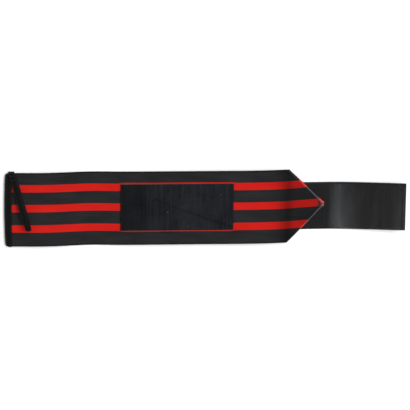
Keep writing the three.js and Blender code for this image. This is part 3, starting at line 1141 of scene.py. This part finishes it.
def patch_seam(sizes, colours):
    """Stitches along the patch's long edges, which the pile half hides"""
    cloth = Cloth()
    inset = 0.2 * MM
    width = 0.42 * MM
    for across in (PATCH_LOW + inset, PATCH_HIGH - inset):
        ends = ((PATCH_START + inset, across), (PATCH_END - inset, across))
        sew(cloth, ends, patch_over(0.05 * MM), sizes.stitch_length, width)
    return cloth.make("Patch_Seam", thread_finish("Patch thread", colours.patch_thread))


def patch_end_seam(sizes, colours):
    """Darker stitches across the patch's two ends"""
    cloth = Cloth()
    inset = 1.1 * MM
    for along in (PATCH_START + inset, PATCH_END - inset):
        ends = ((along, PATCH_LOW + inset), (along, PATCH_HIGH - inset))
        sew(cloth, ends, patch_over(THREAD_LIFT), sizes.stitch_length, sizes.thread_width)
    return cloth.make("Patch_End_Seam", thread_finish("Patch end thread", colours.thread))


def binding_seam(sizes, colours):
    """A row of stitches along the binding's inner edge, on the face, up to the thumb loop"""
    cloth = Cloth()
    along = sizes.binding_reach - 1.3 * MM
    top = HALF_WIDTH - 9.5 * MM
    bottom = 1.5 * MM - HALF_WIDTH
    surface = over_face(sizes.layer_gap + sizes.binding_thickness * 0.95 + THREAD_LIFT)
    sew(cloth, ((along, top), (along, bottom)), surface, sizes.stitch_length, sizes.thread_width)
    return cloth.make("Binding_Seam", thread_finish("Binding thread", colours.thread))


def point_seam(sizes, colours):
    """The row along each folded edge, which holds the layers of the point together"""
    cloth = Cloth()
    for side in (PointSide(sizes, s) for s in SIDES):
        start = side.shoulder + SEAM_START
        end = sizes.tip - 3.2 * MM
        ends = []
        for along, inset in ((start, 0.9 * MM), (end, 2.2 * MM)):
            ends.append((along, side.across(side.slope * (sizes.tip - along) - inset * side.stretch)))
        sew(cloth, ends, over_face(0.1 * MM), stitch=2.4 * MM, width=sizes.thread_width, gap=0.15)
    return cloth.make("Point_Seam", thread_finish("Point thread", colours.pale_thread))


def tip_tack(sizes, colours):
    """A block of close black stitches across the tip"""
    cloth = Cloth()
    start = sizes.tip - 8.2 * MM
    furthest = sizes.tip - 5.4 * MM
    margin = 3.2 * MM
    for across in spaced(-0.6 * MM, 7.6 * MM, step=0.42 * MM):
        off = across - sizes.tip_offset
        side = max((PointSide(sizes, s) for s in SIDES), key=lambda s: s.side * off)
        end = min(furthest, sizes.tip - abs(off) / side.slope - margin)
        holes = ((start, across), (end, across))
        stitch_over(cloth, holes, over_face(0.1 * MM), sizes.thread_width, rise=0.25 * MM)
    return cloth.make("Tip_Tack", thread_finish("Tip thread", colours.thread))


def loop_tack(sizes, colours):
    """Bar tacks that hold the thumb loop's ends to the band"""
    cloth = Cloth()
    layers = 2 * (sizes.layer_gap + sizes.loop_thickness) + sizes.layer_gap + sizes.binding_thickness
    surface = over_face(layers - 0.05 * MM)
    reach = 0.8 * MM
    width = 0.45 * MM
    for row in (2.2 * MM, 6.4 * MM):
        middle = LOOP_ROOT + math.tan(sizes.loop_lean) * row
        across = HALF_WIDTH - row
        for along in divided(middle - 2.5 * MM, middle + 2.5 * MM, 10):
            holes = ((along, across - reach), (along, across + reach))
            stitch_over(cloth, holes, surface, width, rise=0.3 * MM)
    return cloth.make("Loop_Tack", thread_finish("Tack thread", colours.loop))


def patch_pile(sizes, colours):
    """Short loops of yarn all over the patch, flattened where it is creased"""
    cloth = Cloth()
    chance = random.Random(3)
    pitch = 1.15 * MM
    jitter = 0.5 * MM
    half = 0.42 * MM
    margin = 1.0 * MM
    for line in spaced(PATCH_START + margin, PATCH_END - END_PILE[1], pitch):
        for spot in spaced(PATCH_LOW + margin, PATCH_HIGH - margin, pitch):
            along = line + chance.uniform(-jitter, jitter)
            across = spot + chance.uniform(-jitter, jitter)
            heading = chance.uniform(0, math.pi)
            crease = patch_crease(along, across)
            rise = chance.uniform(0.35, 0.6) * MM * (1 - 0.6 * crease)
            reach = Vector((math.cos(heading), math.sin(heading), 0)) * half
            middle = place(along, across, patch_top(along, across))
            # Painted shadow over the patch's left end, and painted shade along the pile's creases
            left_end_painted_shadow = PATCH_PAINTED_SHADOW_DEPTH if along < PATCH_PAINTED_SHADOW_END * MM else 0
            painted_shade = left_end_painted_shadow + (1 - PATCH_PAINTED_SHADOW_DEPTH) * 0.4 * crease
            add_stitch(cloth, middle - reach, middle + reach, 0.15 * MM, rise, CURL_GIRTHS, 3, painted_shade)
    return cloth.make("Patch_Pile", thread_finish("Pile yarn", colours.pile))


LINT_SPOTS = ((-40.5, -4.0), (-19.4, -20.0), (15.6, 13.6))


def patch_lint(sizes, colours):
    """A few short fibres caught in the pile"""
    cloth = Cloth()
    chance = random.Random(7)
    spread = 0.4
    reach = 0.55 * MM
    for x, y in LINT_SPOTS:
        for _ in range(2):
            along = x * MM - RAW_END + chance.uniform(-spread, spread) * MM
            across = y * MM - MIDDLE + chance.uniform(-spread, spread) * MM
            heading = chance.uniform(0, math.pi)
            a = reach * math.cos(heading)
            c = reach * math.sin(heading)
            holes = ((along - a, across - c), (along + a, across + c))
            stitch_over(cloth, holes, patch_over(0.1 * MM), width=0.16 * MM, rise=0.2 * MM)
    return cloth.make("Patch_Lint", plastic_finish("Lint", colours.lint))


def make_pieces(context, *makers):
    """Makes pieces from the sizes and colours that the sidebar holds"""
    return [make(context.scene.wrap_sizes, context.scene.wrap_colours) for make in makers]


def dress_extras(extras):
    for extra in extras:
        dress(extra, None)


class WRAP_OT_elastic_band(bpy.types.Operator):
    """Makes the striped elastic band with its folded point, and the point's stitches"""

    bl_idname = "wrap.elastic_band"
    bl_label = "Elastic Band"

    def execute(self, context):
        band, *seams = make_pieces(context, elastic_band, point_seam, tip_tack)
        dress(band, "striped_elastic", "elastic_band")
        dress_extras(seams)
        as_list(seams)
        return {"FINISHED"}


class WRAP_OT_end_binding(bpy.types.Operator):
    """Makes the binding tape on the raw end, and its stitches"""

    bl_idname = "wrap.end_binding"
    bl_label = "End Binding"

    def execute(self, context):
        binding, *seams = make_pieces(context, end_binding, binding_seam)
        dress(binding, "binding_tape", "end_binding")
        dress_extras(seams)
        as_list(seams)
        return {"FINISHED"}


class WRAP_OT_loop_patch(bpy.types.Operator):
    """Makes the loop-pile patch, its yarn, its stitches and the lint on it"""

    bl_idname = "wrap.loop_patch"
    bl_label = "Loop Patch"

    def execute(self, context):
        patch, *extras = make_pieces(
            context, loop_patch, patch_pile, patch_seam, patch_end_seam, patch_lint
        )
        dress(patch, "loop_pile", "loop_patch")
        dress_extras(extras)
        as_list(extras)
        return {"FINISHED"}


class WRAP_OT_hook_tab(bpy.types.Operator):
    """Makes the long tab and the hooks on its underside"""

    bl_idname = "wrap.hook_tab"
    bl_label = "Hook Tab"

    def execute(self, context):
        tab, hooks = make_pieces(context, hook_tab, tab_hooks)
        dress(tab, "hook_tape", "hook_tab")
        dress(hooks, "hook_tape")
        return {"FINISHED"}


class WRAP_OT_thumb_loop(bpy.types.Operator):
    """Makes the thumb loop and the tacks that hold it"""

    bl_idname = "wrap.thumb_loop"
    bl_label = "Thumb Loop"

    def execute(self, context):
        loop, tack = make_pieces(context, thumb_loop, loop_tack)
        dress(loop, "loop_tape", "thumb_loop")
        dress(tack, None)
        return {"FINISHED"}


class StageSettings(bpy.types.PropertyGroup):
    """The floor, the lights and the camera"""

    key_power: number_property("Key light", "Power of the large soft light", 85, unit="POWER")
    strip_power: number_property("Strip light", "Power of the light over the tab", 1.3, unit="POWER")
    sky: number_property("Surroundings", "Brightness of the even light from all round", 0.58)
    focal_length: number_property("Focal length", "Focal length in millimetres", 245.85)
    camera_place: bpy.props.FloatVectorProperty(
        name="Camera place",
        description="Where the camera is",
        default=(-0.298261, 0.751651, 2.850436),
        subtype="XYZ",
        unit="LENGTH",
    )
    camera_turn: bpy.props.FloatVectorProperty(
        name="Camera turn",
        description="How the camera is turned",
        default=(-0.257443, -0.101082, 0.011639),
        subtype="EULER",
    )


KEY_PLACE = (0.8, 1.1, 2.6)
KEY_SIZE = (2.2, 2.2)
STRIP_PLACE = (0.088, -0.53, 1.17)
STRIP_TARGET = (0.146, 0, 0)
STRIP_SIZE = (0.07, 0.5)
STRIP_TINT = (0.88, 0.94, 1.0)
WHITE = (1, 1, 1)
SENSOR_WIDTH = 36
FLOOR_HALF = 6.0
FLOOR_STEP = 1.0


def add_area_light(name, place_at, target, size, power, colour=WHITE):
    light = bpy.data.lights.new(name, "AREA")
    light.shape = "RECTANGLE"
    light.size, light.size_y = size
    light.energy = power
    light.color = colour
    obj = bpy.data.objects.new(name, light)
    obj.location = place_at
    obj.rotation_euler = (Vector(target) - Vector(place_at)).to_track_quat("-Z", "Y").to_euler()
    bpy.context.scene.collection.objects.link(obj)


def floor_finish(colour):
    """Matt paper with a barely seen grain"""
    finish = Finish("Floor paper")
    grain = finish.noise_at(finish.position(), scale=600.0)
    tint = finish.brighten(colour, 0.99 + grain * 0.02)
    normal = finish.bump(grain, distance=0.02 * MM, strength=0.2)
    return finish.surface(tint, 0.9, normal, specular=0.1)


class WRAP_OT_stage(bpy.types.Operator):
    """Sets the floor, the lights and the camera"""

    bl_idname = "wrap.stage"
    bl_label = "Stage"

    def execute(self, context):
        scene = context.scene
        stage = scene.wrap_stage
        scene.view_settings.view_transform = "Standard"
        floor = Cloth()
        marks = spaced(-FLOOR_HALF, FLOOR_HALF, FLOOR_STEP)
        floor.grid([[floor.point(Vector((x, y, 0)), (x, y)) for x in marks] for y in marks])
        floor.make("Floor", floor_finish(scene.wrap_colours.floor))
        world = bpy.data.worlds.new("Studio")
        world.use_nodes = True
        backdrop = world.node_tree.nodes["Background"]
        backdrop.inputs["Color"].default_value = (*WHITE, 1)
        backdrop.inputs["Strength"].default_value = stage.sky
        scene.world = world
        add_area_light("Key", KEY_PLACE, (0, 0, 0), KEY_SIZE, stage.key_power)
        add_area_light("Strip", STRIP_PLACE, STRIP_TARGET, STRIP_SIZE, stage.strip_power, STRIP_TINT)
        camera = bpy.data.cameras.new("Camera")
        camera.sensor_width = SENSOR_WIDTH
        camera.lens = stage.focal_length
        eye = bpy.data.objects.new("Camera", camera)
        eye.location = stage.camera_place
        eye.rotation_euler = Euler(stage.camera_turn)
        scene.collection.objects.link(eye)
        scene.camera = eye
        return {"FINISHED"}


class WRAP_PT_pieces(bpy.types.Panel):
    """Lists what the wrap is built from"""

    bl_label = "Wrist Wrap"
    bl_idname = "WRAP_PT_pieces"
    bl_space_type = "VIEW_3D"
    bl_region_type = "UI"
    bl_category = "Wrist Wrap"

    def draw(self, context):
        for operator in OPERATORS:
            self.layout.operator(operator.bl_idname)


OPERATORS = (
    WRAP_OT_stage,
    WRAP_OT_elastic_band,
    WRAP_OT_end_binding,
    WRAP_OT_loop_patch,
    WRAP_OT_hook_tab,
    WRAP_OT_thumb_loop,
)
SETTINGS = {"wrap_sizes": WrapSizes, "wrap_colours": WrapColours, "wrap_stage": StageSettings}


def register():
    for kind in (*SETTINGS.values(), *OPERATORS, WRAP_PT_pieces):
        bpy.utils.register_class(kind)
    for name, kind in SETTINGS.items():
        setattr(bpy.types.Scene, name, bpy.props.PointerProperty(type=kind))


def unregister():
    for name in SETTINGS:
        delattr(bpy.types.Scene, name)
    for kind in (WRAP_PT_pieces, *reversed(OPERATORS), *reversed(SETTINGS.values())):
        bpy.utils.unregister_class(kind)


def main():
    register()
    for operator in OPERATORS:
        group, name = operator.bl_idname.split(".")
        getattr(getattr(bpy.ops, group), name)()


if __name__ == "__main__":
    main()
